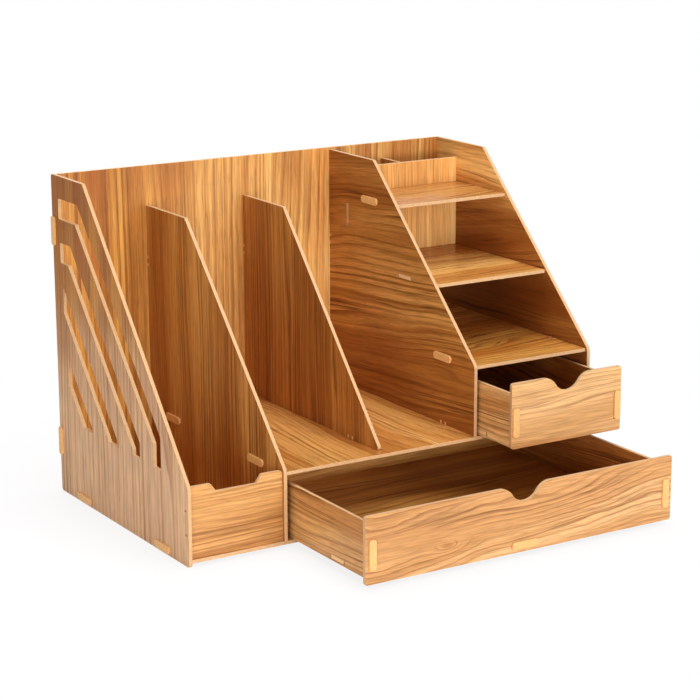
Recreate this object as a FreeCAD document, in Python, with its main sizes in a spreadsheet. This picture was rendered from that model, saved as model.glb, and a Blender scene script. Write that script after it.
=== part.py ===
"""Desk organizer: file bays, a tower of shelves with pen bays, and two drawers, made of thin boards.

Every board is flat and is drawn on the plane that it lies in. Boards meet by tabs in slots, or by a short
tab held between the two prongs of a clip whose head shows on the outer face.

Drawing frame, in millimetres: X runs to the right from the outer face of the left panel, Y runs back from
the front edges, Z runs up from the floor. A drawer's own Y runs back from the face of its front board.
"""
import FreeCAD, Part
import os

import Sketcher

os.makedirs("parts", exist_ok=True)

DIMENSIONS = [
    ("board", 3.2, "thickness of every board"),
    ("width", 421.6, "outer width over the two side panels"),
    ("depth", 256.0, "front edge to back edge of the side panels"),
    ("height", 300.0, "height of the side panels"),
    ("back_inset", 1.5, "rear face of the back panel to the back edge of the side panels"),
    ("base_lift", 3.4, "floor to the underside of the base panel"),
    ("left_knee", 70.0, "height of the upright front edge, left panel and first divider"),
    ("left_crown", 66.0, "length of the level top edge of the left panel"),
    ("right_knee", 134.0, "height of the upright front edge, right panel and tower panel"),
    ("right_crown", 84.0, "length of the level top edge of the right panel"),
    ("first_divider", 92.9, "outer face of the left panel to the first divider"),
    ("second_divider", 195.3, "outer face of the left panel to the second divider"),
    ("tower_place", 292.3, "outer face of the left panel to the tower panel"),
    ("divider_drop", 37.5, "top of the side panels to the top of both dividers"),
    ("divider_crown", 76.5, "length of the level top edge of both dividers"),
    ("divider_toe", 8.0, "front edges to the toe of the second divider"),
    ("tower_inset", 1.5, "front edges to the front edge of the tower panel"),
    ("tower_drop", 2.0, "top of the side panels to the top of the tower panel"),
    ("middle_top", 69.0, "floor to the top of the middle shelf"),
    ("low_shelf_top", 134.0, "floor to the top of the low tower shelf"),
    ("mid_shelf_top", 197.0, "floor to the top of the mid tower shelf"),
    ("top_shelf_drop", 39.5, "top of the side panels to the top of the top tower shelf"),
    ("shelf_setback", 2.0, "sloping edge of the right panel to the front edge of a tower shelf"),
    ("low_shelf_inset", 3.0, "front edges to the front edge of the low tower shelf"),
    ("pen_bay", 32.1, "pen plate to the back panel"),
    ("pen_drop", 15.5, "top of the side panels to the top of the pen plate and the pen divider"),
    ("pen_bay_width", 56.5, "tower panel to the pen divider"),
    ("file_plate_inset", 3.0, "front edges to the face of the file plate"),
    ("file_plate_top", 70.0, "floor to the top of the file plate"),
    ("notch_depth", 7.5, "depth of the notch in the file plate"),
    ("notch_floor", 38.7, "width of the floor of that notch"),
    ("notch_flare", 5.4, "run of each sloping end of that notch"),
    ("window_lean", 1.053, "slant of the windows against that of the sloping edge of the left panel"),
    ("window_first", 22.5, "front edges to the slope of the first window, at the bottom of the windows"),
    ("window_pitch", 52.8, "one window to the next, measured level"),
    ("window_span", 22.0, "level width of a window"),
    ("window_floor", 73.0, "floor to the bottom of every window"),
    ("first_window_back", 13.6, "back edge of the left panel to the first window"),
    ("second_window_back", 15.0, "back edge of the left panel to the second window"),
    ("third_window_back", 18.0, "back edge of the left panel to the third window"),
    ("fourth_window_back", 24.0, "back edge of the left panel to the fourth window"),
    ("first_window_drop", 20.5, "top edge of the left panel to the first window"),
    ("second_window_drop", 61.0, "top edge of the left panel to the second window"),
    ("window_band", 19.0, "height of the level stretch at the top of a window"),
    ("first_window_front", 48.3, "front edges to the upright front end of the first window"),
    ("second_window_front", 88.3, "front edges to the upright front end of the second window"),
    ("window_leg", 14.2, "width of the upright stretch at the bottom of a window"),
    ("tab", 20.0, "length of a plain tab"),
    ("fit", 0.1, "clearance on each side of a tab or a prong in its slot"),
    ("clip_length", 27.0, "length of a clip head"),
    ("clip_width", 7.0, "width of a clip head"),
    ("clip_head", 1.8, "thickness of a clip head"),
    ("clip_corner", 2.8, "corner radius of a clip head"),
    ("clip_rim", 0.5, "radius round the face of a clip head"),
    ("prong_spread", 7.0, "centre to centre of the two prongs of a clip"),
    ("prong", 2.4, "width of a prong"),
    ("prong_reach", 2.6, "depth of a prong in the edge of the board that it holds"),
    ("front_joint", 48.5, "front edges to the front clips of the base and the middle shelf"),
    ("rear_joint", 205.0, "front edges to the rear clips of the base and the middle shelf"),
    ("foot_joint", 128.0, "front edges to the foot tab of the first divider"),
    ("second_foot", 57.0, "front edges to the foot clip of the second divider"),
    ("tower_foot", 51.0, "front edges to the foot clip of the tower panel"),
    ("low_shelf_joint", 52.0, "front edges to the clips of the low tower shelf"),
    ("mid_shelf_joint", 116.7, "front edges to the tabs of the mid tower shelf"),
    ("top_shelf_joint", 177.0, "front edges to the clips of the top tower shelf"),
    ("back_low_joint", 49.0, "floor to the low clips at the ends of the back panel"),
    ("back_high_joint", 52.0, "top of the back panel to the high clips at its ends"),
    ("divider_joint", 210.0, "floor to the clips that hold the uprights to the back panel"),
    ("pen_joint", 240.0, "floor to the tabs of the pen plate and the pen divider"),
    ("file_plate_joint", 38.6, "floor to the tabs of the file plate"),
    ("front_gap", 0.4, "gap at each end of a drawer front in its opening"),
    ("slide_gap", 0.3, "gap under a drawer, and between a closed front and the base"),
    ("floor_rise", 2.0, "lower edge of a drawer side to the underside of the drawer bottom"),
    ("tail", 2.0, "rear face of a drawer back to the rear end of the drawer sides"),
    ("large_out", 125.0, "how far the large drawer stands out of the front edges"),
    ("large_length", 252.5, "length of the large drawer"),
    ("large_inset", 5.3, "end of the large front to the outer face of the drawer side"),
    ("large_front_bottom", 4.0, "floor to the lower edge of the large front"),
    ("large_front_top", 63.5, "floor to the upper edge of the large front"),
    ("large_side_top", 56.3, "floor to the upper edge of the sides of the large drawer"),
    ("large_clip", 29.5, "floor to the clips of the large front"),
    ("small_out", 51.0, "how far the small drawer stands out of the front edges"),
    ("small_length", 248.0, "length of the small drawer"),
    ("small_inset", 2.8, "end of the small front to the outer face of the drawer side"),
    ("small_front_top", 129.4, "floor to the upper edge of the small front"),
    ("small_side_top", 119.0, "floor to the upper edge of the sides of the small drawer"),
    ("small_clip", 93.3, "floor to the clips of the small front"),
    ("bottom_joint", 52.5, "face of a drawer front to the front tabs of the drawer bottom"),
    ("bottom_rear_joint", 200.0, "face of a drawer front to the rear tabs of the drawer bottom"),
    ("scoop_half", 26.0, "half width of the finger scoop in a drawer front"),
    ("scoop_depth", 14.0, "depth of the finger scoop"),
    ("corner", 2.5, "radius of the free corners of the boards"),
    ("knee_round", 8.0, "radius of the knees of the panels"),
    ("window_corner", 1.5, "corner radius of the windows"),
]


class Size:
    """A length, with the spreadsheet expression that it comes from."""

    def __init__(self, number, text):
        self.number = number
        self.text = text

    @staticmethod
    def of(value):
        return value if isinstance(value, Size) else Size(float(value), f"{value:g}")

    def joined(self, sign, number, other):
        return Size(number, f"({self.text} {sign} {other.text})")

    def __add__(self, other):
        other = Size.of(other)
        return self.joined("+", self.number + other.number, other)

    def __sub__(self, other):
        other = Size.of(other)
        return self.joined("-", self.number - other.number, other)

    def __mul__(self, other):
        other = Size.of(other)
        return self.joined("*", self.number * other.number, other)

    def __truediv__(self, other):
        other = Size.of(other)
        return self.joined("/", self.number / other.number, other)

    def __neg__(self):
        return Size(-self.number, f"(0 - {self.text})")


def fill_sheet(document):
    """Put the driving dimensions in a spreadsheet, one alias each."""
    sheet = document.addObject("Spreadsheet::Sheet", "Sizes")
    for row, (name, value, meaning) in enumerate(DIMENSIONS, start=1):
        sheet.set(f"A{row}", name)
        sheet.set(f"B{row}", str(value))
        sheet.set(f"C{row}", meaning)
        sheet.setAlias(f"B{row}", name)
    document.recompute()
    return sheet


doc = FreeCAD.newDocument("desk_organizer")
sizes = fill_sheet(doc)
S = {name: Size(float(sizes.get(name)), f"Sizes.{name}") for name, _, _ in DIMENSIONS}
ZERO = Size(0.0, "0")
board = S["board"]

# Levels and places that follow from the driving dimensions.
back_face = S["depth"] - S["back_inset"] - board
back_high_level = S["height"] - S["back_high_joint"]
right_inner = S["width"] - board
base_top = S["base_lift"] + board
base_middle = S["base_lift"] + board / 2
middle_shelf_middle = S["middle_top"] - board / 2
back_middle = back_face + board / 2
file_plate_middle = S["file_plate_inset"] + board / 2
pen_plate_back = back_face - S["pen_bay"]
pen_plate_face = pen_plate_back - board
pen_middle = pen_plate_back - board / 2
pen_top = S["height"] - S["pen_drop"]
top_shelf_top = S["height"] - S["top_shelf_drop"]
first_right = S["first_divider"] + board
first_middle = S["first_divider"] + board / 2
second_middle = S["second_divider"] + board / 2
tower_right = S["tower_place"] + board
tower_middle = S["tower_place"] + board / 2
tower_bay_middle = (tower_right + right_inner) / 2
pen_divider_face = tower_right + S["pen_bay_width"]
pen_divider_middle = pen_divider_face + board / 2
divider_top = S["height"] - S["divider_drop"]
divider_brow = back_face - S["divider_crown"]
tower_slope = (S["depth"] - S["right_crown"]) / (S["height"] - S["right_knee"])
window_slope = (S["depth"] - S["left_crown"]) / (S["height"] - S["left_knee"]) * S["window_lean"]
clip_outer = S["prong_spread"] / 2 + S["prong"] / 2 + S["fit"]
clip_inner = S["prong_spread"] / 2 - S["prong"] / 2 - S["fit"]
slot_half = board / 2 + S["fit"]

# The origin is below the middle of the organizer as it stands, drawers part open.
FRONT_END = -(S["large_out"] + S["clip_head"])
BACK_END = back_face + board + S["clip_head"]
CARCASS = (-(S["width"] / 2), -((FRONT_END + BACK_END) / 2), ZERO)
LARGE = (CARCASS[0], CARCASS[1] - S["large_out"], ZERO)
SMALL = (CARCASS[0], CARCASS[1] - S["small_out"], ZERO)

PLANES = {"X": "YZ_Plane", "Y": "XZ_Plane", "Z": "XY_Plane"}
nodes = []


def new_body(name, frame, axis, level):
    """A body whose drawing plane is square to an axis of the frame, at the given level along it."""
    body = doc.addObject("PartDesign::Body", name)
    body.Label = name
    body.AllowCompound = True
    for number, letter in enumerate("xyz"):
        place = frame[number]
        if letter == axis.lower():
            place = place + level
        body.setExpression(f"Placement.Base.{letter}", place.text)
    nodes.append(body)
    return body


def pin(sketch, kind, edge, end, size):
    """Hold one end of an edge at a distance from the origin that follows the spreadsheet."""
    number = sketch.addConstraint(Sketcher.Constraint(kind, -1, 1, edge, end, size.number))
    sketch.setExpression(f"Constraints[{number}]", size.text)


def draw(body, axis, name, loops):
    """Draw closed loops on the body's plane. A corner is (u, v), or (u, v, centre_u, centre_v, turn) where
    the edge after it is an arc, anticlockwise for turn 1 and clockwise for turn -1."""
    sketch = body.newObject("Sketcher::SketchObject", f"{body.Name}_{name}")
    plane = next(item for item in body.Origin.OriginFeatures if item.Role == PLANES[axis])
    sketch.AttachmentSupport = [(plane, "")]
    sketch.MapMode = "FlatFace"
    for loop in loops:
        draw_loop(sketch, loop)
    return sketch


def draw_loop(sketch, loop):
    """Add one closed loop of lines and arcs, with every corner pinned."""
    first = sketch.GeometryCount
    edges = []
    for number, corner in enumerate(loop):
        following = loop[(number + 1) % len(loop)]
        start = FreeCAD.Vector(corner[0].number, corner[1].number, 0)
        stop = FreeCAD.Vector(following[0].number, following[1].number, 0)
        turn = corner[4] if len(corner) == 5 else 0
        if turn == 0:
            sketch.addGeometry(Part.LineSegment(start, stop))
        else:
            centre = FreeCAD.Vector(corner[2].number, corner[3].number, 0)
            circle = Part.Circle(centre, FreeCAD.Vector(0, 0, 1), (start - centre).Length)
            low, high = (start, stop) if turn > 0 else (stop, start)
            sketch.addGeometry(Part.ArcOfCircle(circle, circle.parameter(low), circle.parameter(high)))
        ends = (2, 1) if turn < 0 else (1, 2)
        edges.append((first + number, ends, (stop - start)))
    joins = []
    for number, (edge, ends, _) in enumerate(edges):
        following, following_ends, _ = edges[(number + 1) % len(edges)]
        joins.append(Sketcher.Constraint("Coincident", edge, ends[1], following, following_ends[0]))
    sketch.addConstraint(joins)
    for corner, (edge, ends, chord) in zip(loop, edges):
        pin(sketch, "DistanceX", edge, ends[0], corner[0])
        pin(sketch, "DistanceY", edge, ends[0], corner[1])
        if len(corner) == 5 and abs(chord.y) > abs(chord.x):
            pin(sketch, "DistanceX", edge, 3, corner[2])
        elif len(corner) == 5:
            pin(sketch, "DistanceY", edge, 3, corner[3])


def pad(body, axis, sketch, length, toward):
    """Thicken a sketch along its axis, toward the positive side for 1 and the negative side for -1."""
    feature = body.newObject("PartDesign::Pad", f"{sketch.Name}_pad")
    feature.Profile = sketch
    feature.setExpression("Length", length.text)
    feature.Reversed = (toward < 0) != (axis == "Y")
    doc.recompute()
    return feature


def cut_through(body, axis, name, loops):
    """Cut loops through the board, and make sure that they took material away."""
    before = body.Shape.Volume
    sketch = draw(body, axis, name, loops)
    feature = body.newObject("PartDesign::Pocket", f"{sketch.Name}_pocket")
    feature.Profile = sketch
    feature.Type = "ThroughAll"
    feature.Reversed = axis != "Y"
    doc.recompute()
    if not body.Shape.Volume < before:
        raise ValueError(f"{body.Label}: {name} cut nothing")


def fillet(body, name, edges, radius):
    """Round edges of the body's latest feature."""
    if not edges:
        raise ValueError(f"{body.Label}: no edges for {name}")
    latest = body.Tip
    feature = body.newObject("PartDesign::Fillet", f"{body.Name}_{name}")
    feature.Base = (latest, edges)
    feature.setExpression("Radius", radius.text)
    doc.recompute()


def round_corners(body, axis, name, corners, radius):
    """Round the edges that run through the board's thickness at the given corners."""
    across = [side for side, letter in enumerate("XYZ") if letter != axis]
    chosen = []
    for number, edge in enumerate(body.Tip.Shape.Edges, start=1):
        ends = [vertex.Point for vertex in edge.Vertexes]
        if len(ends) != 2:
            continue
        for corner in corners:
            target = (corner[0].number, corner[1].number)
            gaps = [abs(end[side] - goal) for end in ends for side, goal in zip(across, target)]
            if max(gaps) < 0.001:
                chosen.append(f"Edge{number}")
    fillet(body, name, chosen, radius)


def rectangle(centre_u, centre_v, half_u, half_v):
    """Corners of a rectangle about its centre."""
    return [
        (centre_u - half_u, centre_v - half_v),
        (centre_u + half_u, centre_v - half_v),
        (centre_u + half_u, centre_v + half_v),
        (centre_u - half_u, centre_v + half_v),
    ]


def clip_slot(along, centre_u, centre_v):
    """Slot for a short tab between the two prongs of a clip, lying along u or along v."""
    if along == "u":
        return rectangle(centre_u, centre_v, clip_outer, slot_half)
    return rectangle(centre_u, centre_v, slot_half, clip_outer)


def tab_slot(along, centre_u, centre_v):
    """Round-ended slot for a plain tab, lying along u or along v."""
    half = S["tab"] / 2 + S["fit"]
    if along == "u":
        left, right = centre_u - half, centre_u + half
        low, high = centre_v - slot_half, centre_v + slot_half
        right_end = [(right, low, right, centre_v, 1), (right, high)]
        return [(left, low)] + right_end + [(left, high, left, centre_v, 1)]
    left, right = centre_u - slot_half, centre_u + slot_half
    low, high = centre_v - half, centre_v + half
    return [(left, low, centre_u, low, 1), (right, low), (right, high, centre_u, high, 1), (left, high)]


def tab_profile():
    """Outline of a plain tab: steps along the edge and out of it, from the middle of the tab."""
    half = S["tab"] / 2
    return [(-half, ZERO), (-half, board), (half, board), (half, ZERO)]


def clip_profile():
    """Outline of a short tab between the two notches that take the prongs of a clip."""
    notch = -(S["prong_reach"] + S["fit"])
    return [
        (-clip_outer, ZERO),
        (-clip_outer, notch),
        (-clip_inner, notch),
        (-clip_inner, board),
        (clip_inner, board),
        (clip_inner, notch),
        (clip_outer, notch),
        (clip_outer, ZERO),
    ]


def outline(corners, joints):
    """Corners of a board, anticlockwise, with tabs let into its edges. A joint is (edge, centre, profile),
    where edge n runs from corner n to the next and is square to u or v."""
    loop = []
    for number, corner in enumerate(corners):
        loop.append(corner)
        following = corners[(number + 1) % len(corners)]
        on_edge = [joint for joint in joints if joint[0] == number]
        if not on_edge:
            continue
        level = abs(following[1].number - corner[1].number) < 1e-6
        run = following[0].number - corner[0].number if level else following[1].number - corner[1].number
        sense = 1 if run > 0 else -1
        for _, centre, profile in sorted(on_edge, key=lambda joint: sense * joint[1].number):
            for step, out in profile:
                along = centre + step * sense
                loop.append((along, corner[1] - out * sense) if level else (corner[0] + out * sense, along))
    return loop


def make_board(name, frame, axis, level, loop, slots=()):
    """A flat board: its outline thickened, then its slots cut."""
    body = new_body(name, frame, axis, level)
    pad(body, axis, draw(body, axis, "outline", [loop]), board, 1)
    if slots:
        cut_through(body, axis, "slots", slots)
    return body


def make_clips(name, frame, axis, level, outward, spots):
    """Clips on one face of a board: a head on the face, and two prongs that go through its slot.
    A spot is (along, centre_u, centre_v)."""
    body = new_body(name, frame, axis, level)
    heads, prongs = [], []
    half_length, half_width = S["clip_length"] / 2, S["clip_width"] / 2
    half_prong, half_thick = S["prong"] / 2, board / 2
    for along, centre_u, centre_v in spots:
        if along == "u":
            heads.append(rectangle(centre_u, centre_v, half_length, half_width))
        else:
            heads.append(rectangle(centre_u, centre_v, half_width, half_length))
        for shift in (-(S["prong_spread"] / 2), S["prong_spread"] / 2):
            if along == "u":
                prongs.append(rectangle(centre_u + shift, centre_v, half_prong, half_thick))
            else:
                prongs.append(rectangle(centre_u, centre_v + shift, half_thick, half_prong))
    pad(body, axis, draw(body, axis, "heads", heads), S["clip_head"], outward)
    head_corners = [corner for head in heads for corner in head]
    round_corners(body, axis, "head_corners", head_corners, S["clip_corner"])
    round_face(body, axis, outward * S["clip_head"].number)
    pad(body, axis, draw(body, axis, "prongs", prongs), board + S["prong_reach"], -outward)
    return body


def round_face(body, axis, level):
    """Soften the rim of the clip heads, all round the face at the given level."""
    side = "XYZ".index(axis)
    chosen = []
    for number, edge in enumerate(body.Tip.Shape.Edges, start=1):
        box = edge.BoundBox
        low, high = (box.XMin, box.YMin, box.ZMin)[side], (box.XMax, box.YMax, box.ZMax)[side]
        if abs(low - level) < 0.001 and abs(high - level) < 0.001:
            chosen.append(f"Edge{number}")
    fillet(body, "rim", chosen, S["clip_rim"])


TAB, CLIP = tab_profile(), clip_profile()


def window(number, back, top, front):
    """A sloping window in the left panel. Its top turns level and its bottom turns upright where a top and
    a front are given."""
    floor = S["window_floor"]
    outer = S["window_first"] + S["window_pitch"] * number
    inner = outer + S["window_span"]

    def at_height(start, level):
        return start + (level - floor) * window_slope

    def at_place(start, place):
        return floor + (place - start) / window_slope

    if top is None:
        upper = [(back, at_place(inner, back)), (back, at_place(outer, back))]
    else:
        band = top - S["window_band"]
        upper = [(at_height(inner, band), band), (back, band), (back, top), (at_height(outer, top), top)]
    if front is None:
        lower = [(outer, floor), (inner, floor)]
    else:
        leg = front + S["window_leg"]
        lower = [(front, at_place(outer, front)), (front, floor), (leg, floor), (leg, at_place(inner, leg))]
    return upper + lower


def make_left_panel():
    """Left side panel with four sloping windows."""
    depth, height, knee = S["depth"], S["height"], S["left_knee"]
    brow = depth - S["left_crown"]
    feet = [(ZERO, ZERO), (depth, ZERO)]
    loop = [*feet, (depth, height), (brow, height), (ZERO, knee)]
    slots = [clip_slot("u", place, base_middle) for place in (S["front_joint"], S["rear_joint"])]
    slots += [clip_slot("v", back_middle, place) for place in (S["back_low_joint"], back_high_level)]
    slots.append(tab_slot("v", file_plate_middle, S["file_plate_joint"]))
    body = make_board("left_side_panel", CARCASS, "X", ZERO, loop, slots)
    first_top = height - S["first_window_drop"]
    second_top = height - S["second_window_drop"]
    windows = [
        window(0, depth - S["first_window_back"], first_top, S["first_window_front"]),
        window(1, depth - S["second_window_back"], second_top, S["second_window_front"]),
        window(2, depth - S["third_window_back"], None, None),
        window(3, depth - S["fourth_window_back"], None, None),
    ]
    cut_through(body, "X", "windows", windows)
    round_corners(body, "X", "window_corners", [c for loop in windows for c in loop], S["window_corner"])
    round_corners(body, "X", "corners", [*feet, (depth, height), (brow, height)], S["corner"])
    round_corners(body, "X", "knee", [(ZERO, knee)], S["knee_round"])


def make_right_panel():
    """Right side panel, higher at the front than the left one."""
    depth, height, knee = S["depth"], S["height"], S["right_knee"]
    brow = depth - S["right_crown"]
    feet = [(ZERO, ZERO), (depth, ZERO)]
    loop = [*feet, (depth, height), (brow, height), (ZERO, knee)]
    slots = [clip_slot(along, u, v) for along, u, v in right_clip_spots()]
    slots.append(tab_slot("u", S["mid_shelf_joint"], S["mid_shelf_top"] - board / 2))
    slots.append(tab_slot("v", pen_middle, S["pen_joint"]))
    body = make_board("right_side_panel", CARCASS, "X", right_inner, loop, slots)
    round_corners(body, "X", "corners", [*feet, (depth, height), (brow, height)], S["corner"])
    round_corners(body, "X", "knee", [(ZERO, knee)], S["knee_round"])


def left_clip_spots():
    """Clips on the outside of the left panel: two for the base, two for the back panel."""
    base = [("u", place, base_middle) for place in (S["front_joint"], S["rear_joint"])]
    back = [("v", back_middle, place) for place in (S["back_low_joint"], back_high_level)]
    return base + back


def right_clip_spots():
    """Clips on the outside of the right panel."""
    shelves = [
        ("u", S["front_joint"], middle_shelf_middle),
        ("u", S["rear_joint"], middle_shelf_middle),
        ("u", S["low_shelf_joint"], S["low_shelf_top"] - board / 2),
        ("u", S["top_shelf_joint"], top_shelf_top - board / 2),
    ]
    return left_clip_spots() + shelves


def tower_clip_spots():
    """Clips on the left face of the tower panel."""
    return [
        ("u", S["low_shelf_joint"], S["low_shelf_top"] - board / 2),
        ("u", S["top_shelf_joint"], top_shelf_top - board / 2),
    ]


def divider_clip_spots():
    """Clips on the left face of the first divider."""
    return [("u", place, middle_shelf_middle) for place in (S["front_joint"], S["rear_joint"])]


def back_clip_spots():
    """Clips on the rear face of the back panel, one behind each upright."""
    return [("v", place, S["divider_joint"]) for place in (first_middle, second_middle, tower_middle)]


def foot_clip_spots():
    """Clips under the middle shelf, below the second divider and the tower panel."""
    return [("v", second_middle, S["second_foot"]), ("v", tower_middle, S["tower_foot"])]


def rear_tabs():
    """Tabs at the rear edges of the level boards, as (place, height of the middle of the board)."""
    file_bay_middle = (board + S["first_divider"]) / 2
    drawer_bay_middle = (first_right + right_inner) / 2
    divided_bay_middle = (first_right + S["second_divider"]) / 2
    return {
        "base": [(file_bay_middle, base_middle), (drawer_bay_middle, base_middle)],
        "middle": [(divided_bay_middle, middle_shelf_middle), (tower_bay_middle, middle_shelf_middle)],
        "low": [(tower_bay_middle, S["low_shelf_top"] - board / 2)],
        "mid": [(tower_bay_middle, S["mid_shelf_top"] - board / 2)],
    }


def make_back_panel():
    """Back panel, full height between the side panels."""
    height = S["height"]
    corners = [(board, ZERO), (right_inner, ZERO), (right_inner, height), (board, height)]
    heights = (S["back_low_joint"], back_high_level)
    joints = [(edge, place, CLIP) for edge in (1, 3) for place in heights]
    slots = [clip_slot(along, u, v) for along, u, v in back_clip_spots()]
    slots.append(tab_slot("v", pen_divider_middle, S["pen_joint"]))
    slots += [tab_slot("u", u, v) for places in rear_tabs().values() for u, v in places]
    make_board("back_panel", CARCASS, "Y", back_face, outline(corners, joints), slots)


def level_board(name, left, front, back, top, side_joints, rear_places, slots=()):
    """A level board from an upright to the right panel: joints at both ends, plain tabs at its rear."""
    corners = [(left, front), (right_inner, front), (right_inner, back), (left, back)]
    joints = [(edge, place, profile) for edge in (1, 3) for place, profile in side_joints]
    joints += [(2, place, TAB) for place, _ in rear_places]
    make_board(name, CARCASS, "Z", top - board, outline(corners, joints), slots)


def shelf_front(top):
    """Front edge of a tower shelf, just behind the sloping edge of the right panel."""
    return (top - S["right_knee"]) * tower_slope + S["shelf_setback"]


def make_level_boards():
    """Base panel, middle shelf and the three tower shelves."""
    clips = [(S["front_joint"], CLIP), (S["rear_joint"], CLIP)]
    rear = rear_tabs()
    foot = [tab_slot("v", first_middle, S["foot_joint"])]
    feet = [clip_slot(along, u, v) for along, u, v in foot_clip_spots()]
    level_board("base_panel", board, ZERO, back_face, base_top, clips, rear["base"], foot)
    level_board("middle_shelf", first_right, ZERO, back_face, S["middle_top"], clips, rear["middle"], feet)
    low, mid, top = S["low_shelf_top"], S["mid_shelf_top"], top_shelf_top
    front = S["low_shelf_inset"]
    low_clips = [(S["low_shelf_joint"], CLIP)]
    mid_tabs = [(S["mid_shelf_joint"], TAB)]
    top_clips = [(S["top_shelf_joint"], CLIP)]
    level_board("tower_shelf_low", tower_right, front, back_face, low, low_clips, rear["low"])
    level_board("tower_shelf_mid", tower_right, shelf_front(mid), back_face, mid, mid_tabs, rear["mid"])
    level_board("tower_shelf_top", tower_right, shelf_front(top), pen_plate_face, top, top_clips, ())


def make_uprights():
    """The two file dividers and the left panel of the tower."""
    knee, middle_top = S["left_knee"], S["middle_top"]
    corners = [(ZERO, base_top), (back_face, base_top)]
    corners += [(back_face, divider_top), (divider_brow, divider_top), (ZERO, knee)]
    joints = [(0, S["foot_joint"], TAB), (1, S["divider_joint"], CLIP)]
    slots = [clip_slot(along, u, v) for along, u, v in divider_clip_spots()]
    slots.append(tab_slot("v", file_plate_middle, S["file_plate_joint"]))
    first = make_board(
        "file_divider_left", CARCASS, "X", S["first_divider"], outline(corners, joints), slots
    )
    round_corners(first, "X", "corners", [(divider_brow, divider_top)], S["corner"])
    round_corners(first, "X", "knee", [(ZERO, knee)], S["knee_round"])

    toe = (S["divider_toe"], middle_top)
    corners = [toe, (back_face, middle_top), (back_face, divider_top), (divider_brow, divider_top)]
    joints = [(0, S["second_foot"], CLIP), (1, S["divider_joint"], CLIP)]
    second = make_board("file_divider_right", CARCASS, "X", S["second_divider"], outline(corners, joints))
    round_corners(second, "X", "corners", [(divider_brow, divider_top), toe], S["corner"])

    inset, tower_top = S["tower_inset"], S["height"] - S["tower_drop"]
    brow = (S["depth"] - S["right_crown"], tower_top)
    knee = (inset, S["right_knee"])
    corners = [(inset, middle_top), (back_face, middle_top), (back_face, tower_top), brow, knee]
    joints = [(0, S["tower_foot"], CLIP), (1, S["divider_joint"], CLIP)]
    slots = [clip_slot(along, u, v) for along, u, v in tower_clip_spots()]
    slots.append(tab_slot("u", S["mid_shelf_joint"], S["mid_shelf_top"] - board / 2))
    slots.append(tab_slot("v", pen_middle, S["pen_joint"]))
    tower = make_board("tower_panel", CARCASS, "X", S["tower_place"], outline(corners, joints), slots)
    round_corners(tower, "X", "corners", [brow], S["corner"])
    round_corners(tower, "X", "knee", [knee], S["knee_round"])


def make_pen_boards():
    """Plate and divider of the two pen bays, on the mid tower shelf."""
    low, high = S["mid_shelf_top"], pen_top
    corners = [(tower_right, low), (right_inner, low), (right_inner, high), (tower_right, high)]
    joints = [(1, S["pen_joint"], TAB), (3, S["pen_joint"], TAB)]
    slots = [tab_slot("v", pen_divider_middle, S["pen_joint"])]
    make_board("pen_plate", CARCASS, "Y", pen_plate_face, outline(corners, joints), slots)
    corners = [(pen_plate_back, low), (back_face, low), (back_face, high), (pen_plate_back, high)]
    make_board("pen_divider", CARCASS, "X", pen_divider_face, outline(corners, joints))


def make_file_plate():
    """Plate across the front of the first file bay, with a shallow notch."""
    left, right, top = board, S["first_divider"], S["file_plate_top"]
    middle = (left + right) / 2
    half_floor = S["notch_floor"] / 2
    half_mouth = half_floor + S["notch_flare"]
    floor = top - S["notch_depth"]
    notch = [
        (middle + half_mouth, top),
        (middle + half_floor, floor),
        (middle - half_floor, floor),
        (middle - half_mouth, top),
    ]
    ends = [(right, top), (left, top)]
    corners = [(left, base_top), (right, base_top), ends[0]] + notch + [ends[1]]
    joints = [(1, S["file_plate_joint"], TAB), (7, S["file_plate_joint"], TAB)]
    body = make_board("file_plate", CARCASS, "Y", S["file_plate_inset"], outline(corners, joints))
    round_corners(body, "Y", "corners", ends + [notch[0], notch[3]], S["corner"])


def scoop(middle, top):
    """Corners of a finger scoop in a top edge, from right to left: three arcs that run into each other."""
    half, depth = S["scoop_half"], S["scoop_depth"]
    radius = (half * half + depth * depth) / (depth * 4)
    shoulder = top - radius
    return [
        (middle + half, top, middle + half, shoulder, 1),
        (middle + half / 2, top - depth / 2, middle, top - depth + radius, -1),
        (middle - half / 2, top - depth / 2, middle - half, shoulder, 1),
        (middle - half, top),
    ]


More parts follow.
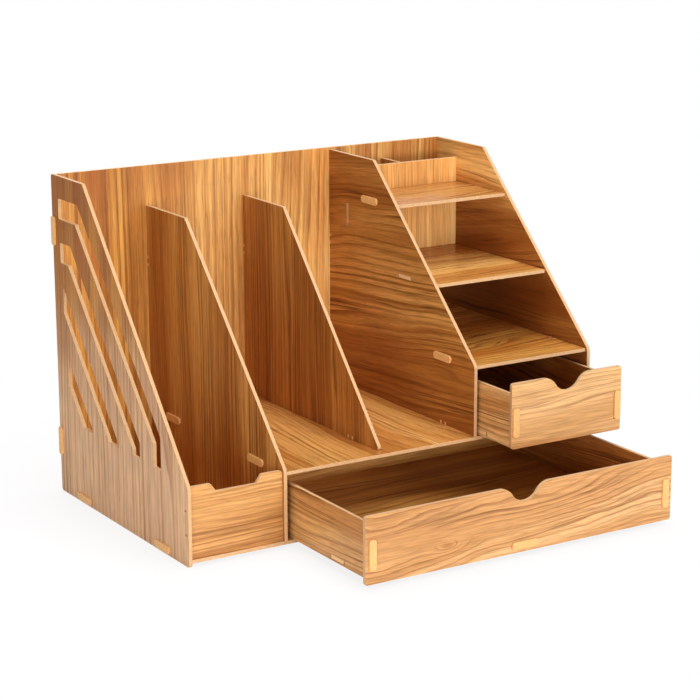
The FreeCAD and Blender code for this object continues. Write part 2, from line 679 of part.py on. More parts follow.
def make_drawer(size, frame, opening, front_bottom, side_bottom, front_clip):
    """A drawer: front with a scoop, two sides, a back and a bottom. Its opening runs from a level in X to
    the right panel. front_clip tells whether the bottom is clipped to the front too."""
    name = f"{size}_drawer"
    length, clip, inset = S[f"{size}_length"], S[f"{size}_clip"], S[f"{size}_inset"]
    front_top, side_top = S[f"{size}_front_top"], S[f"{size}_side_top"]
    left, right = opening + S["front_gap"], right_inner - S["front_gap"]
    middle = (left + right) / 2
    left_outer, right_outer = left + inset, right - inset
    left_inner, right_inner_face = left_outer + board, right_outer - board
    back_place = length - S["tail"] - board
    bottom_level = side_bottom + S["floor_rise"]
    bottom_middle = bottom_level + board / 2
    side_middle = (side_bottom + side_top) / 2

    spots = [("v", left_outer + board / 2, clip), ("v", right_outer - board / 2, clip)]
    if front_clip:
        spots.append(("u", middle, bottom_middle))
    ends = [(right, front_top), (left, front_top)]
    feet = [(left, front_bottom), (right, front_bottom)]
    loop = feet + [ends[0]] + scoop(middle, front_top) + [ends[1]]
    slots = [clip_slot(along, u, v) for along, u, v in spots]
    front = make_board(f"{name}_front", frame, "Y", ZERO, loop, slots)
    round_corners(front, "Y", "corners", ends + feet, S["corner"])
    make_clips(f"{name}_clips", frame, "Y", ZERO, -1, spots)

    corners = [(board, side_bottom), (length, side_bottom), (length, side_top), (board, side_top)]
    places = (S["bottom_joint"], S["bottom_rear_joint"])
    slots = [tab_slot("u", place, bottom_middle) for place in places]
    slots.append(tab_slot("v", back_place + board / 2, side_middle))
    for side, level in (("left", left_outer), ("right", right_inner_face)):
        make_board(f"{name}_{side}_side", frame, "X", level, outline(corners, [(3, clip, CLIP)]), slots)

    corners = [(left_inner, side_bottom), (right_inner_face, side_bottom)]
    corners += [(right_inner_face, side_top), (left_inner, side_top)]
    joints = [(1, side_middle, TAB), (3, side_middle, TAB)]
    slots = [tab_slot("u", middle, bottom_middle)]
    make_board(f"{name}_back", frame, "Y", back_place, outline(corners, joints), slots)

    corners = [(left_inner, board), (right_inner_face, board)]
    corners += [(right_inner_face, back_place), (left_inner, back_place)]
    joints = [(edge, place, TAB) for edge in (1, 3) for place in places]
    joints.append((2, middle, TAB))
    if front_clip:
        joints.append((0, middle, CLIP))
    make_board(f"{name}_bottom", frame, "Z", bottom_level, outline(corners, joints))


def make_drawers():
    """The large drawer on the base panel, and the small one on the middle shelf."""
    large_bottom = base_top + S["slide_gap"]
    small_bottom = S["middle_top"] + S["slide_gap"]
    make_drawer("large", LARGE, first_right, S["large_front_bottom"], large_bottom, True)
    make_drawer("small", SMALL, tower_right, small_bottom, small_bottom, False)


def check_and_export():
    """Stop on any failed object, then write one STEP file for each board and each group of clips."""
    doc.recompute()
    for item in doc.Objects:
        if "Invalid" in item.State or "Error" in item.State:
            raise ValueError(f"{item.Label} failed: {item.State}")
    for body in nodes:
        if body.Shape.isNull() or not body.Shape.isValid():
            raise ValueError(f"{body.Label} has no valid shape")
    for body in nodes:
        body.Shape.exportStep(f"parts/{body.Label}.step")
        print(f"{body.Label}: {len(body.Shape.Solids)} solid(s), {body.Shape.Volume / 1000:.2f} cm3")


make_left_panel()
make_right_panel()
make_back_panel()
make_level_boards()
make_uprights()
make_pen_boards()
make_file_plate()
make_clips("left_panel_clips", CARCASS, "X", ZERO, -1, left_clip_spots())
make_clips("right_panel_clips", CARCASS, "X", S["width"], 1, right_clip_spots())
make_clips("divider_clips", CARCASS, "X", S["first_divider"], -1, divider_clip_spots())
make_clips("tower_clips", CARCASS, "X", S["tower_place"], -1, tower_clip_spots())
make_clips("back_panel_clips", CARCASS, "Y", back_face + board, 1, back_clip_spots())
make_clips("shelf_clips", CARCASS, "Z", S["middle_top"] - board, -1, foot_clip_spots())
make_drawers()
check_and_export()
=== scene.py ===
"""Looks of the desk organizer: printed wood grain with painted light, shade and sheen, pale cut edges,
light clips, studio and camera.
"""

import math

import bpy
from mathutils import Matrix, Vector


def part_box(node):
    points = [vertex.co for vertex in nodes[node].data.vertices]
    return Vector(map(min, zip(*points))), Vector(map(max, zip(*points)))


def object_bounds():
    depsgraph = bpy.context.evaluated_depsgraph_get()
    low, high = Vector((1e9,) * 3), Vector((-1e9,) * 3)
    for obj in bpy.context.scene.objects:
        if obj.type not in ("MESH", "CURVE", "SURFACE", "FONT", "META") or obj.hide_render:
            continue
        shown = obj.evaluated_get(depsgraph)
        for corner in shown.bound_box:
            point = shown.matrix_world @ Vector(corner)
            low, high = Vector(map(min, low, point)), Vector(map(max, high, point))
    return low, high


MM = 0.001
X, Y, Z = 0, 1, 2

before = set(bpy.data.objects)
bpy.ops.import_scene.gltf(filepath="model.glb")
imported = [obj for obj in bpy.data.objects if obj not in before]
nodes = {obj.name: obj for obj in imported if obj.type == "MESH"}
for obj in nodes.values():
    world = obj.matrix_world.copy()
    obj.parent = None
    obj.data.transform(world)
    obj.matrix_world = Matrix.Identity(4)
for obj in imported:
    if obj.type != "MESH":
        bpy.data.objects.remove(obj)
cad_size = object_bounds()

# Camera, worked out from the corners of the side panels.
AZIMUTH = math.radians(-31.75)
ELEVATION = math.radians(14.19)
ROLL = math.radians(-0.19)
DISTANCE = 1.86523
LENS = 111.35
SENSOR = 36.0
TARGET_RIGHT = 159.99 * MM
TARGET_UP = 168.05 * MM

# Colours of the print, of a painted sheen, of bare fibre board, of its tab ends painted lighter, and of the
# clips, as linear colours.
HONEY = (0.80, 0.445, 0.165)
TAN = (0.58, 0.27, 0.080)
AMBER = (0.42, 0.165, 0.038)
BROWN = (0.28, 0.088, 0.018)
VEIN = (0.11, 0.026, 0.004)
RUSSET = (0.46, 0.155, 0.034)
# Colour of a painted sheen, a pale reflection mixed into the print.
PAINTED_SHEEN_COLOUR = (0.86, 0.58, 0.40)
# Bare fibre board on the ends of level boards, painted lighter than the other cut edges as painted light.
PAINTED_LIGHT_TAB_END = (0.92, 0.58, 0.28)
CUT_EDGE = (0.66, 0.40, 0.20)
CUT_EDGE_MOTTLE = 0.88
CLIP_WOOD = (0.84, 0.46, 0.16)
CLIP_FIBRE = 0.84
CLIP_BLOT = 0.92
CARCASS_CLIP_TONE = 1.12
DRAWER_CLIP_TONE = 0.97

# A lower tone takes most from the blue, and so does a richer print, so painted shade comes out deeper as
# well as darker.
DARKENING = (1.0, 1.5, 2.1)
RICHNESS = (0.0, 0.10, 0.38)

# Noise layers of the print: how often each turns in a metre across the grain and along it, its own place in
# the noise, its detail and its roughness.
LAYERS = {
    "bend": (9.0, 3.2, 0.0, 1.5, 0.5),
    "drift": (34.0, 1.1, 3.0, 1.0, 0.5),
    "ripple": (60.0, 22.0, 4.0, 2.0, 0.5),
    "presence": (40.0, 3.5, 9.0, 1.5, 0.5),
    "band": (24.0, 1.4, 5.0, 2.0, 0.5),
    "thin": (210.0, 1.3, 7.0, 3.0, 0.6),
    "course": (95.0, 1.3, 11.0, 3.0, 0.55),
    "fibre": (620.0, 28.0, 1.0, 2.0, 0.5),
    "pore": (950.0, 55.0, 2.0, 1.0, 0.5),
}

# How far the layers push the growth lines sideways, in metres.
BEND_REACH = 0.085
DRIFT_REACH = 0.030
RIPPLE_REACH = 0.0035

# Strength of the marks on a board whose own factors are 1.
RUSSET_SHARE = 0.65
STREAK_STRENGTH = 0.80
LINE_STRENGTH = 0.85
VEIN_STRENGTH = 0.80
PORE_STRENGTH = 0.24
KNOT_STRENGTH = 0.75

# Reach of a knot along and across the grain, and how far it pushes the growth lines aside.
KNOT_LENGTH = 13.0 * MM
KNOT_BREADTH = 4.2 * MM
KNOT_SWELL = 11.0 * MM

# Each board's print lies elsewhere in the noise.
SEED_STEP_ALONG = 1.37
SEED_STEP_ACROSS = SEED_STEP_ALONG * 0.61

BOARD_BUMP = 0.08
CLIP_BUMP = 0.1
BUMP_DEPTH = 0.2 * MM
EDGE_ROUGHNESS = 0.62
ROUGHNESS_SPREAD = 0.04

WELD_REACH = 0.01 * MM
SOFT_ARRIS = 0.3 * MM
ARRIS_STEPS = 2
ARRIS_ANGLE = math.radians(50)

# Studio.
FLOOR = (0.90, 0.90, 0.90)
FLOOR_MOTTLE = 0.99
FLOOR_ROUGHNESS = 0.9
FLOOR_REACH = 6.0
AMBIENT = 0.20
AMBIENT_COLOUR = (1.0, 0.985, 0.96, 1.0)
WHITE = (1.0, 1.0, 1.0, 1.0)

# The floor's share of plain white, which leaves a faint shadow, grows to 1 between these distances.
SHADOW_VEIL = 0.84
FADE_START = 0.25
FADE_END = 0.60

# Lamps: where each stands, where it aims, its width and height in metres and its power in watts.
MIDDLE = (0.0, 0.0, 0.12)
LAMPS = {
    "front": ((0.3, -2.2, 0.55), MIDDLE, (1.4, 1.0), 19.0),
    "front_low": ((-0.3, -2.2, 0.15), MIDDLE, (1.6, 0.6), 19.0),
    "top_front": ((0.2, -1.2, 1.9), MIDDLE, (1.4, 1.0), 13.0),
    "top": ((0.1, 0.2, 2.0), MIDDLE, (1.4, 1.2), 27.0),
    "left": ((-1.0, -0.75, 0.15), (-0.2, 0.0, 0.12), (0.5, 0.4), 4.0),
    "rear": ((0.6, 2.2, 0.9), MIDDLE, (1.4, 1.0), 18.0),
}


class Net:
    """Shorthand for building the node tree of a material or a world."""

    def __init__(self, owner):
        owner.use_nodes = True
        self.owner = owner
        self.tree = owner.node_tree
        self.shader = self.tree.nodes.get("Principled BSDF")

    def put(self, socket, value):
        if isinstance(value, bpy.types.NodeSocket):
            self.tree.links.new(value, socket)
        elif isinstance(value, tuple) and len(value) == 3 and socket.type == "RGBA":
            socket.default_value = (*value, 1.0)
        else:
            socket.default_value = value

    def node(self, kind, **settings):
        made = self.tree.nodes.new(kind)
        for name, value in settings.items():
            setattr(made, name, value)
        return made

    def math(self, operation, first, second=0.0):
        made = self.node("ShaderNodeMath", operation=operation)
        for socket, value in zip(made.inputs, (first, second)):
            self.put(socket, value)
        return made.outputs[0]

    def times(self, first, second):
        return self.math("MULTIPLY", first, second)

    def plus(self, first, second):
        return self.math("ADD", first, second)

    def ramp(self, value, low, high, start=0.0, end=1.0):
        """Smooth step of value from start to end as it goes from low to high."""
        made = self.node("ShaderNodeMapRange", interpolation_type="SMOOTHSTEP")
        for name, number in (("From Min", low), ("From Max", high), ("To Min", start), ("To Max", end)):
            made.inputs[name].default_value = number
        self.put(made.inputs["Value"], value)
        return made.outputs["Result"]

    def mix(self, factor, first, second, blend="MIX"):
        """Colour between first and second."""
        made = self.node("ShaderNodeMix", data_type="RGBA", blend_type=blend, clamp_result=True)
        for socket, value in zip((made.inputs[0], *made.inputs[6:8]), (factor, first, second)):
            self.put(socket, value)
        return made.outputs[2]

    def blend(self, factor, first, second):
        """Number between first and second."""
        made = self.node("ShaderNodeMix", data_type="FLOAT")
        for socket, value in zip((made.inputs[0], *made.inputs[2:4]), (factor, first, second)):
            self.put(socket, value)
        return made.outputs[0]

    def grey(self, value):
        made = self.node("ShaderNodeCombineColor")
        for socket in made.inputs:
            self.put(socket, value)
        return made.outputs[0]

    def parts(self, vector):
        """The three parts of a vector."""
        made = self.node("ShaderNodeSeparateXYZ")
        self.put(made.inputs[0], vector)
        return made.outputs

    def noise(self, place, scale=1.0, detail=2.0, roughness=0.5):
        made = self.node("ShaderNodeTexNoise")
        self.put(made.inputs["Vector"], place)
        made.inputs["Scale"].default_value = scale
        made.inputs["Detail"].default_value = detail
        made.inputs["Roughness"].default_value = roughness
        return made.outputs["Fac"]

    def emboss(self, height, strength):
        """Give the material's surface a fine relief."""
        bump = self.node("ShaderNodeBump")
        bump.inputs["Strength"].default_value = strength
        bump.inputs["Distance"].default_value = BUMP_DEPTH
        self.put(bump.inputs["Height"], height)
        self.put(self.shader.inputs["Normal"], bump.outputs[0])


class Board:
    """What sets the print of one board apart.

    thick, along and across are the axes of its thickness, of its grain and across its grain. A run is an
    axis, places along it in metres and a value at each place. Runs work on the shown face only: the top of
    a level board, and the left or front of an upright one. The tone runs and the zones paint light and
    shade onto the print, the sheen run paints a pale reflection, and the depth run deepens the colour of
    painted shade.
    """

    seed = 0
    tilt = 0.0  # turn of the grain
    rings = 150.0  # growth lines in a metre
    wave = 1.0  # how far the growth lines bend
    streaks = 1.0  # strength of the streaks, growth lines and pores
    veins = 1.0  # strength of the darkest veins
    warmth = 1.0  # share of russet in the darker bands
    tone = 1.0  # lightness, partly the print's own and partly painted light or shade for the whole board
    rich = 0.0  # depth of the colour, partly the print's own and partly deepened to go with painted shade
    roughness = 0.45
    specular = 0.3
    painted_shading = None  # run of the tone: painted light and shade on the shown face
    depth = None  # run of the depth of the colour, deeper where shade is painted
    painted_sheen = None  # run of a painted pale sheen, a reflection painted into the colour
    painted_light_zones = ()  # tuples of runs, whose product paints light or shade by making the tone lighter or darker
    knot = None  # middle of a knot, along and across the grain

    def __init__(self, thick, along, across, **settings):
        self.thick, self.along, self.across = thick, along, across
        for name, value in settings.items():
            setattr(self, name, value)


# Each board's tone and richness are partly its own print and partly painted light or shade for that board;
# its runs and zones paint light, shade and sheen on its shown face.
BOARDS = {
    "left_side_panel": Board(
        X, Z, Y, seed=1, wave=0.3, streaks=0.6, veins=0.5, specular=0.12, rich=0.3,
        # Painted shade darkens the outer face towards the top, the depth run deepens it there, a painted
        # sheen pales the lower part, and the zone paints shade along the rear edge above the foot.
        painted_shading=(Z, (0.06, 0.15, 0.20, 0.28), (0.97, 0.90, 0.84, 0.66)),
        depth=(Z, (0.14, 0.24), (0.3, 1.6)),
        painted_sheen=(Z, (0.08, 0.15, 0.205), (0.72, 0.58, 0.0)),
        painted_light_zones=(
            ((Y, (0.145, 0.168), (0.0, -0.26)), (Z, (0.11, 0.15), (0.0, 1.0))),
        ),
    ),
    "right_side_panel": Board(
        X, Y, Z, seed=2, tilt=math.radians(-2), wave=0.9, streaks=0.7, rich=0.8,
        # Painted shade darkens the inner face low down under the shelves, painted light brightens it near
        # the top, and the zone paints light near the front edge below the top.
        painted_shading=(Z, (0.17, 0.232, 0.268, 0.30), (0.40, 0.66, 1.50, 1.10)),
        painted_light_zones=(
            ((Y, (-0.05, 0.05), (0.55, 0.0)), (Z, (0.215, 0.25), (1.0, 0.0))),
        ),
    ),
    "back_panel": Board(
        Y, Z, X, seed=3, rings=120.0, wave=0.3, veins=0.5, warmth=1.1, tone=1.12, rich=0.9,
        # Painted light brightens the front face towards the right bays, the depth run deepens the painted
        # shade to the left, and the zones paint shade along the top and painted light in the right bay and
        # in a strip beside the tower.
        painted_shading=(X, (-0.16, -0.07, 0.03), (1.0, 1.14, 1.37)),
        depth=(X, (-0.16, -0.07), (1.5, 0.8)),
        painted_light_zones=(
            ((Z, (0.25, 0.295), (0.0, -0.13)),),
            ((Z, (0.235, 0.28), (0.0, -0.22)), (X, (0.0, 0.035, 0.048, 0.058), (0.0, 1.0, 1.0, 0.0))),
            ((Z, (0.16, 0.25), (0.38, 0.0)), (X, (-0.01, 0.02), (0.0, 1.0))),
            ((Z, (0.14, 0.2), (0.0, 0.3)), (X, (0.054, 0.064, 0.082, 0.086), (0.0, 1.0, 1.0, 0.0))),
        ),
    ),
    "base_panel": Board(Z, X, Y, seed=4),
    "middle_shelf": Board(
        Z, Y, X, seed=5, veins=0.6, rich=0.7, roughness=0.3, specular=0.4,
        # Painted light brightens the top towards the right bay.
        painted_shading=(X, (-0.03, 0.03), (0.93, 1.22)),
    ),
    # The tower shelves' tones are partly painted light and shade: the middle shelf lighter, the top one
    # darker.
    "tower_shelf_low": Board(Z, X, Y, seed=6, warmth=1.5, rich=1.2, roughness=0.28, specular=0.4),
    "tower_shelf_mid": Board(Z, X, Y, seed=7, tone=1.22, rich=0.9, roughness=0.28, specular=0.4),
    "tower_shelf_top": Board(Z, X, Y, seed=8, tone=0.80, rich=0.4, roughness=0.28, specular=0.4),
    # The dividers' lower tones are partly painted shade, darker on the right divider.
    "file_divider_left": Board(
        X, Z, Y, seed=9, rings=190.0, wave=0.2, veins=0.6, warmth=0.3, tone=0.89, rich=1.0
    ),
    "file_divider_right": Board(
        X, Z, Y, seed=10, rings=190.0, wave=0.2, veins=0.6, warmth=0.3, tone=0.75, rich=1.0
    ),
    "tower_panel": Board(
        X, Y, Z, seed=11, tilt=math.radians(-6), wave=0.6, tone=0.93, rich=0.9, specular=0.2,
        # Painted shade darkens the left face at the foot and again towards the top.
        painted_shading=(Z, (0.09, 0.14, 0.18, 0.22), (0.68, 0.96, 0.94, 0.80)),
    ),
    "pen_plate": Board(
        Y, Z, X, seed=12, wave=0.3, streaks=0.45, veins=0.3, warmth=0.2, rich=0.7,
        # Painted light brightens the front face, most in its lower part.
        painted_shading=(Z, (0.20, 0.27), (1.55, 1.38)),
    ),
    "pen_divider": Board(X, Z, Y, seed=13, wave=0.3, rich=0.8),
    "file_plate": Board(
        Y, X, Z, seed=14, rings=220.0, wave=0.5, streaks=0.8, veins=0.4,
        # Painted shade darkens the front face towards the bottom.
        painted_shading=(Z, (0.015, 0.055), (0.82, 0.97)),
    ),
    "large_drawer_front": Board(
        Y, X, Z, seed=20, rings=200.0, wave=1.3, streaks=0.85, veins=0.5, warmth=0.3, rich=-0.8,
        # Painted light brightens the front towards the right and along its lower and upper edges.
        painted_shading=(X, (-0.08, 0.10), (0.96, 1.06)),
        painted_light_zones=(
            ((Z, (0.012, 0.03), (0.14, 0.0)), (X, (-0.08, 0.04), (1.0, 0.3))),
            ((Z, (0.045, 0.058), (0.0, 0.08)), (X, (0.04, 0.14), (1.0, 0.0))),
        ),
        knot=(-0.032, 0.0235),
    ),
    "small_drawer_front": Board(
        Y, X, Z, seed=21, rings=200.0, wave=0.9, streaks=0.48, veins=0.45, warmth=0.3, rich=-0.6
    ),
}

# Each drawer, the tone of its left side and the tone at the top of its right side, both painted light or
# shade: the small drawer's left side is painted lighter and the top of its right side darker.
DRAWERS = (("large_drawer", 1.06, 1.1), ("small_drawer", 1.30, 0.7))
for number, (drawer, left_tone, right_tone) in enumerate(DRAWERS):
    BOARDS[f"{drawer}_left_side"] = Board(X, Y, Z, seed=22 + number, wave=0.8, tone=left_tone)
    # Painted shade darkens the inner face of the right side towards the bottom.
    BOARDS[f"{drawer}_right_side"] = Board(
        X, Y, Z, seed=24 + number, wave=0.8, rich=0.6, painted_shading=(Z, (0.02, 0.05), (0.6, right_tone))
    )
    BOARDS[f"{drawer}_back"] = Board(
        Y, X, Z, seed=26 + number, streaks=0.5, veins=0.4, warmth=0.5, rich=1.0,
        # Painted shade darkens the back's inner face at its foot, where it meets the bottom, and painted
        # light brightens it above.
        painted_shading=(Z, (0.0135, 0.0175), (0.9, 1.3)),
    )
    BOARDS[f"{drawer}_bottom"] = Board(
        # Painted shadow darkens the bottoms towards the right, where the small drawer shades the large one.
        Z, X, Y, seed=28 + number, wave=0.8, rich=1.2, painted_shading=(X, (0.0, 0.09), (1.17, 0.70))
    )


def darker(colour, factor):
    return tuple(part * factor for part in colour)


def along_run(net, spot, run):
    """Number that goes through the values of a run at its places."""
    axis, places, values = run
    place = net.parts(spot)[axis]
    number = values[0]
    for start, end, reached in zip(places, places[1:], values[1:]):
        number = net.blend(net.ramp(place, start, end), number, reached)
    return number


def grain_coordinates(net, spot, board):
    """Distances along and across the grain of a board, turned by its tilt and moved by its seed."""
    here = net.parts(spot)
    length, breadth = here[board.along], here[board.across]
    turn_cos, turn_sin = math.cos(board.tilt), math.sin(board.tilt)
    u = net.plus(net.times(length, turn_cos), net.times(breadth, turn_sin))
    v = net.math("SUBTRACT", net.times(breadth, turn_cos), net.times(length, turn_sin))
    return net.plus(u, board.seed * SEED_STEP_ALONG), net.plus(v, board.seed * SEED_STEP_ACROSS)


def knot_nearness(net, spot, board):
    """1 in the middle of the board's knot, and less around it."""
    here = net.parts(spot)
    squares = []
    for axis, middle, reach in zip((board.along, board.across), board.knot, (KNOT_LENGTH, KNOT_BREADTH)):
        away = net.math("DIVIDE", net.math("SUBTRACT", here[axis], middle), reach)
        squares.append(net.math("POWER", net.math("ABSOLUTE", away), 2.0))
    return net.math("EXPONENT", net.times(net.plus(*squares), -1.0))


def layer(net, name, u, v):
    """Noise of one layer of the print."""
    across, along, depth, detail, roughness = LAYERS[name]
    place = net.node("ShaderNodeCombineXYZ")
    for socket, value in zip(place.inputs, (net.times(v, across), net.times(u, along), depth)):
        net.put(socket, value)
    return net.noise(place.outputs[0], detail=detail, roughness=roughness)


def bent_place(net, u, v, board, knot):
    """Place across the grain, pushed sideways by what bends the growth lines."""
    bend = net.times(layer(net, "bend", u, v), BEND_REACH * board.wave)
    drift = net.times(layer(net, "drift", u, v), DRIFT_REACH)
    ripple = net.times(layer(net, "ripple", u, v), RIPPLE_REACH * board.wave)
    bent = net.plus(v, net.plus(net.plus(bend, drift), ripple))
    return net.plus(bent, net.times(knot, KNOT_SWELL)) if knot else bent


def growth_lines(net, bent, presence, board, knot):
    """Growth lines, which darken slowly and end sharply, and come and go along the grain."""
    ring = net.math("FRACT", net.times(bent, board.rings))
    line = net.math("POWER", net.ramp(ring, 0.10, 0.95), 4.0)
    line = net.times(line, net.ramp(ring, 0.95, 1.0, 1.0, 0.0))
    seen = net.ramp(presence, 0.34, 0.62)
    if knot:
        seen = net.math("MAXIMUM", seen, net.ramp(knot, 0.1, 0.6))
    return net.times(line, seen)


def print_colour(net, u, v, board, painted_sheen, knot):
    """Colour of the print, with bands, streaks, growth lines, veins and pores, a painted sheen where one is
    given, and its fine fibre.
    """
    bent = bent_place(net, u, v, board, knot)
    presence = layer(net, "presence", u, v)
    line = growth_lines(net, bent, presence, board, knot)
    band = layer(net, "band", u, bent)
    thin = layer(net, "thin", u, bent)
    off_course = net.math("ABSOLUTE", net.math("SUBTRACT", layer(net, "course", u, bent), 0.5))
    vein = net.times(net.ramp(off_course, 0.0, 0.024, 1.0, 0.0), net.ramp(presence, 0.46, 0.62))
    fibre = layer(net, "fibre", u, v)
    pore = layer(net, "pore", u, v)

    colour = net.mix(net.ramp(band, 0.38, 0.60), HONEY, TAN)
    colour = net.mix(net.ramp(band, 0.50, 0.66, 0.0, RUSSET_SHARE * board.warmth), colour, RUSSET)
    # Painted sheen: a pale reflection mixed into the print.
    if painted_sheen:
        colour = net.mix(painted_sheen, colour, PAINTED_SHEEN_COLOUR)
    colour = net.mix(net.ramp(thin, 0.46, 0.66, 0.0, STREAK_STRENGTH * board.streaks), colour, AMBER)
    colour = net.mix(net.times(line, LINE_STRENGTH * board.streaks), colour, BROWN)
    colour = net.mix(net.times(vein, VEIN_STRENGTH * board.veins), colour, VEIN)
    colour = net.mix(net.ramp(pore, 0.58, 0.68, 0.0, PORE_STRENGTH * board.streaks), colour, VEIN)
    if knot:
        colour = net.mix(net.ramp(knot, 0.70, 0.97, 0.0, KNOT_STRENGTH), colour, AMBER)
    shimmer = net.ramp(fibre, 0.28, 0.72, 0.82, 1.12)
    return net.mix(1.0, colour, net.grey(shimmer), "MULTIPLY"), fibre


def tone_and_richness(net, spot, board, shown):
    """Lightness and depth of colour of a board, with the painted light and shade of its runs and zones on
    the shown face.
    """
    tone, rich = board.tone, board.rich
    if board.painted_shading:
        tone = net.blend(shown, tone, along_run(net, spot, board.painted_shading))
    for zone in board.painted_light_zones:
        amount = shown
        for run in zone:
            amount = net.times(amount, along_run(net, spot, run))
        tone = net.times(tone, net.plus(amount, 1.0))
    if board.depth:
        rich = net.blend(shown, rich, along_run(net, spot, board.depth))
    return tone, rich


def print_tone(net, tone, rich):
    """Tone and richness as a colour to multiply the print by."""
    if not any(isinstance(value, bpy.types.NodeSocket) for value in (tone, rich)):
        return tuple((1.0 - rich * part) * tone**power for part, power in zip(RICHNESS, DARKENING))
    made = net.node("ShaderNodeCombineColor")
    for socket, part, power in zip(made.inputs, RICHNESS, DARKENING):
        factor = net.math("SUBTRACT", 1.0, net.times(rich, part))
        net.put(socket, net.times(net.math("POWER", tone, power), factor))
    return made.outputs[0]


def edge_colour(net, spot, board, normal):
    """Colour of a cut edge: pale fibre board with a faint mottle, painted lighter on the ends of level
    boards as painted light.
    """
    mottle = net.noise(spot, scale=520.0, detail=3.0)
    edge = net.mix(net.ramp(mottle, 0.35, 0.7), CUT_EDGE, darker(CUT_EDGE, CUT_EDGE_MOTTLE))
    # Painted light: the sideways ends of level boards get a lighter copy of the cut edge.
    if board.thick == Z:
        edge = net.mix(net.ramp(net.math("ABSOLUTE", normal[X]), 0.6, 0.8), edge, PAINTED_LIGHT_TAB_END)
    return edge


def board_material(name, board):
    """A board: printed grain on its two faces, with painted light, shade and sheen on its shown face, and
    bare fibre board on its cut edges.
    """
    net = Net(bpy.data.materials.new(name))
    coordinates = net.node("ShaderNodeTexCoord")
    spot = coordinates.outputs["Object"]
    normal = net.parts(coordinates.outputs["Normal"])
    facing = normal[board.thick]
    shown = net.ramp(facing, 0.2, 0.4) if board.thick == Z else net.ramp(facing, -0.4, -0.2, 1.0, 0.0)
    # Painted sheen on the shown face.
    painted_sheen = net.times(along_run(net, spot, board.painted_sheen), shown) if board.painted_sheen else None
    knot = knot_nearness(net, spot, board) if board.knot else None

    face, fibre = print_colour(net, *grain_coordinates(net, spot, board), board, painted_sheen, knot)
    tone, rich = tone_and_richness(net, spot, board, shown)
    face = net.mix(1.0, face, print_tone(net, tone, rich), "MULTIPLY")
    on_face = net.ramp(net.math("ABSOLUTE", facing), 0.40, 0.72)
    net.put(net.shader.inputs["Base Color"], net.mix(on_face, edge_colour(net, spot, board, normal), face))
    smoothest, roughest = board.roughness - ROUGHNESS_SPREAD, board.roughness + ROUGHNESS_SPREAD
    face_roughness = net.ramp(fibre, 0.2, 0.8, smoothest, roughest)
    net.put(net.shader.inputs["Roughness"], net.blend(on_face, EDGE_ROUGHNESS, face_roughness))
    net.emboss(fibre, BOARD_BUMP)
    net.shader.inputs["Specular IOR Level"].default_value = board.specular
    return net.owner


def clip_material(name, tone):
    """Light wood of the clips, with a fine fibre."""
    wood = darker(CLIP_WOOD, tone)
    net = Net(bpy.data.materials.new(name))
    spot = net.node("ShaderNodeTexCoord").outputs["Object"]
    fibre = net.noise(spot, scale=420.0, detail=4.0, roughness=0.6)
    blot = net.noise(spot, scale=60.0)
    colour = net.mix(net.ramp(fibre, 0.3, 0.7), wood, darker(wood, CLIP_FIBRE))
    colour = net.mix(net.ramp(blot, 0.4, 0.7, 0.0, 0.35), colour, darker(wood, CLIP_BLOT))
    net.put(net.shader.inputs["Base Color"], colour)
    net.put(net.shader.inputs["Roughness"], net.ramp(fibre, 0.2, 0.8, 0.42, 0.55))
    net.emboss(fibre, CLIP_BUMP)
    return net.owner


def soften(piece):
    """Round the arrises a little, on top of the CAD shape."""
    weld = piece.modifiers.new("weld", "WELD")
    weld.merge_threshold = WELD_REACH
    arris = piece.modifiers.new("arris", "BEVEL")
    arris.width = SOFT_ARRIS
    arris.segments = ARRIS_STEPS
    arris.limit_method = "ANGLE"
    arris.angle_limit = ARRIS_ANGLE
    arris.harden_normals = False


def dress_nodes():
    """Give every CAD node its finish."""
    carcass_clip = clip_material("carcass_clip_wood", CARCASS_CLIP_TONE)
    drawer_clip = clip_material("drawer_clip_wood", DRAWER_CLIP_TONE)
    for name, piece in nodes.items():
        if name in BOARDS:
            material = board_material(f"{name}_wood", BOARDS[name])
        elif "drawer" in name:
            material = drawer_clip
        else:
            material = carcass_clip
        piece.data.materials.clear()
        piece.data.materials.append(material)
        soften(piece)


def add_object(name, data):
    added = bpy.data.objects.new(name, data)
    bpy.context.scene.collection.objects.link(added)
    return added


def straight_ray(net):
    """1 for the rays that show the background: straight from the camera, reflected or let through."""
    rays = net.node("ShaderNodeLightPath")
    seen = net.math("MAXIMUM", rays.outputs["Is Camera Ray"], rays.outputs["Is Transmission Ray"])
    return net.math("MAXIMUM", seen, rays.outputs["Is Glossy Ray"])


def make_floor():
    """Plain white floor under the organizer, which keeps a faint shadow and fades into the background."""
    mesh = bpy.data.meshes.new("floor")
    corners = [(x * FLOOR_REACH, y * FLOOR_REACH, 0) for x, y in ((-1, -1), (1, -1), (1, 1), (-1, 1))]
    mesh.from_pydata(corners, [], [(0, 1, 2, 3)])
    floor = add_object("floor", mesh)
    net = Net(bpy.data.materials.new("floor_paper"))
    spot = net.node("ShaderNodeTexCoord").outputs["Object"]
    mottle = net.noise(spot, scale=3.0)
    net.put(net.shader.inputs["Base Color"], net.mix(mottle, FLOOR, darker(FLOOR, FLOOR_MOTTLE)))
    net.shader.inputs["Roughness"].default_value = FLOOR_ROUGHNESS
    distance = net.node("ShaderNodeVectorMath", operation="LENGTH")
    net.put(distance.inputs[0], spot)
    fade = net.ramp(distance.outputs["Value"], FADE_START, FADE_END, SHADOW_VEIL, 1.0)
    white = net.node("ShaderNodeEmission")
    surface = net.node("ShaderNodeMixShader")
    net.put(surface.inputs[0], net.times(fade, straight_ray(net)))
    net.put(surface.inputs[1], net.shader.outputs[0])
    net.put(surface.inputs[2], white.outputs[0])
    net.put(net.tree.nodes["Material Output"].inputs["Surface"], surface.outputs[0])
    floor.data.materials.append(net.owner)


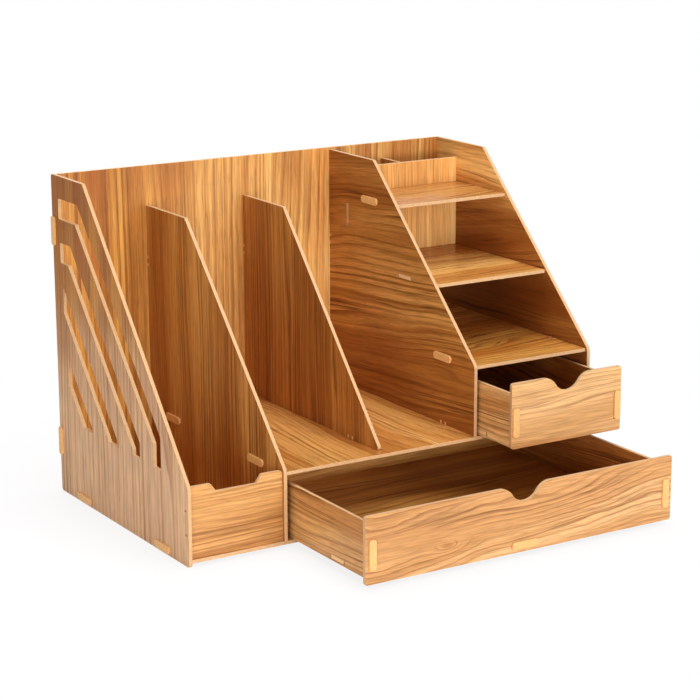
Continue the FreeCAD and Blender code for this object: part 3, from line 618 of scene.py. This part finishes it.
def make_world():
    """White behind the object, soft grey light from all round."""
    world = bpy.data.worlds.new("studio")
    bpy.context.scene.world = world
    net = Net(world)
    net.tree.nodes.clear()
    seen = net.node("ShaderNodeBackground")
    seen.inputs["Color"].default_value = WHITE
    ambient = net.node("ShaderNodeBackground")
    ambient.inputs["Color"].default_value = AMBIENT_COLOUR
    ambient.inputs["Strength"].default_value = AMBIENT
    background = net.node("ShaderNodeMixShader")
    net.put(background.inputs[0], straight_ray(net))
    net.put(background.inputs[1], ambient.outputs[0])
    net.put(background.inputs[2], seen.outputs[0])
    net.put(net.node("ShaderNodeOutputWorld").inputs["Surface"], background.outputs[0])


def make_lamps():
    """Soft light from the front, high and low, from above, from the left and weakly from behind."""
    for name, (place, aim, size, power) in LAMPS.items():
        data = bpy.data.lights.new(name, "AREA")
        data.shape = "RECTANGLE"
        data.size, data.size_y = size
        data.energy = power
        lamp = add_object(name, data)
        lamp.location = place
        lamp.rotation_euler = (Vector(aim) - Vector(place)).to_track_quat("-Z", "Y").to_euler()


def make_camera():
    """Camera at the photograph's angle."""
    low = cad_size[0]
    left_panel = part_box("left_side_panel")[0]
    target = Vector((left_panel.x + TARGET_RIGHT, left_panel.y, low[2] + TARGET_UP))
    back = Vector(
        (
            math.sin(AZIMUTH) * math.cos(ELEVATION),
            -math.cos(AZIMUTH) * math.cos(ELEVATION),
            math.sin(ELEVATION),
        )
    )
    level_right = Vector((math.cos(AZIMUTH), math.sin(AZIMUTH), 0.0))
    level_up = back.cross(level_right)
    right = level_right * math.cos(ROLL) + level_up * math.sin(ROLL)
    up = level_up * math.cos(ROLL) - level_right * math.sin(ROLL)
    data = bpy.data.cameras.new("camera")
    data.lens = LENS
    data.sensor_width = SENSOR
    camera = add_object("camera", data)
    turn = Matrix((right, up, back)).transposed().to_4x4()
    camera.matrix_world = Matrix.Translation(target + back * DISTANCE) @ turn
    bpy.context.scene.camera = camera


dress_nodes()
make_floor()
make_world()
make_lamps()
make_camera()
bpy.context.scene.view_settings.view_transform = "Standard"
